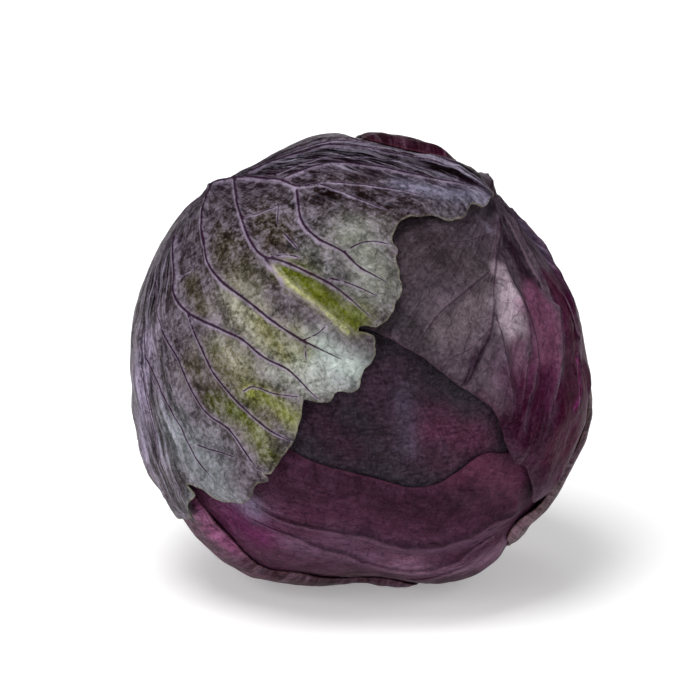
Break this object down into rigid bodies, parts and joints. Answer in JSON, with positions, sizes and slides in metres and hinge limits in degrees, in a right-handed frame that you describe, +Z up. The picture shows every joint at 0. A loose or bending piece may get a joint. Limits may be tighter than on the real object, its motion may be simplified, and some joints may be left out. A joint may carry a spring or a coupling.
{
  "type": "red cabbage head",
  "caption": "Round, dense head of red cabbage lying on its side, with a ragged grey-green outer leaf, purple leaves and a short cut stalk.",
  "frame": {"origin": "middle of the bounding box on the surface the head lies on", "axes": "+Z up from the surface, -Y the way the top of the head faces, +X to the right seen from there"},
  "size_m": [0.1614, 0.1657, 0.1561],
  "materials": {
    "inner_head": "smooth near-black purple leaf, satin",
    "stalk": "pale green-cream cut stem, dull",
    "lower_leaf": "wine-purple pleated leaf, satin",
    "upper_right_leaf": "dusty mauve to purple leaf, satin",
    "lower_left_leaf": "purple leaf with a waxy bloom, satin",
    "wrapper_leaf": "grey-green leaf with purple veins and a waxy bloom, satin",
    "right_back_leaf": "brown-purple leaf, satin",
    "top_back_leaf": "reddish purple leaf, satin"
  },
  "bodies": {
    "root": {"inner_head": "inner_head", "stalk": "stalk", "lower_leaf": "lower_leaf", "upper_right_leaf": "upper_right_leaf", "lower_left_leaf": "lower_left_leaf", "wrapper_leaf": "wrapper_leaf", "right_back_leaf": "right_back_leaf", "top_back_leaf": "top_back_leaf"}
  },
  "joints": []
}
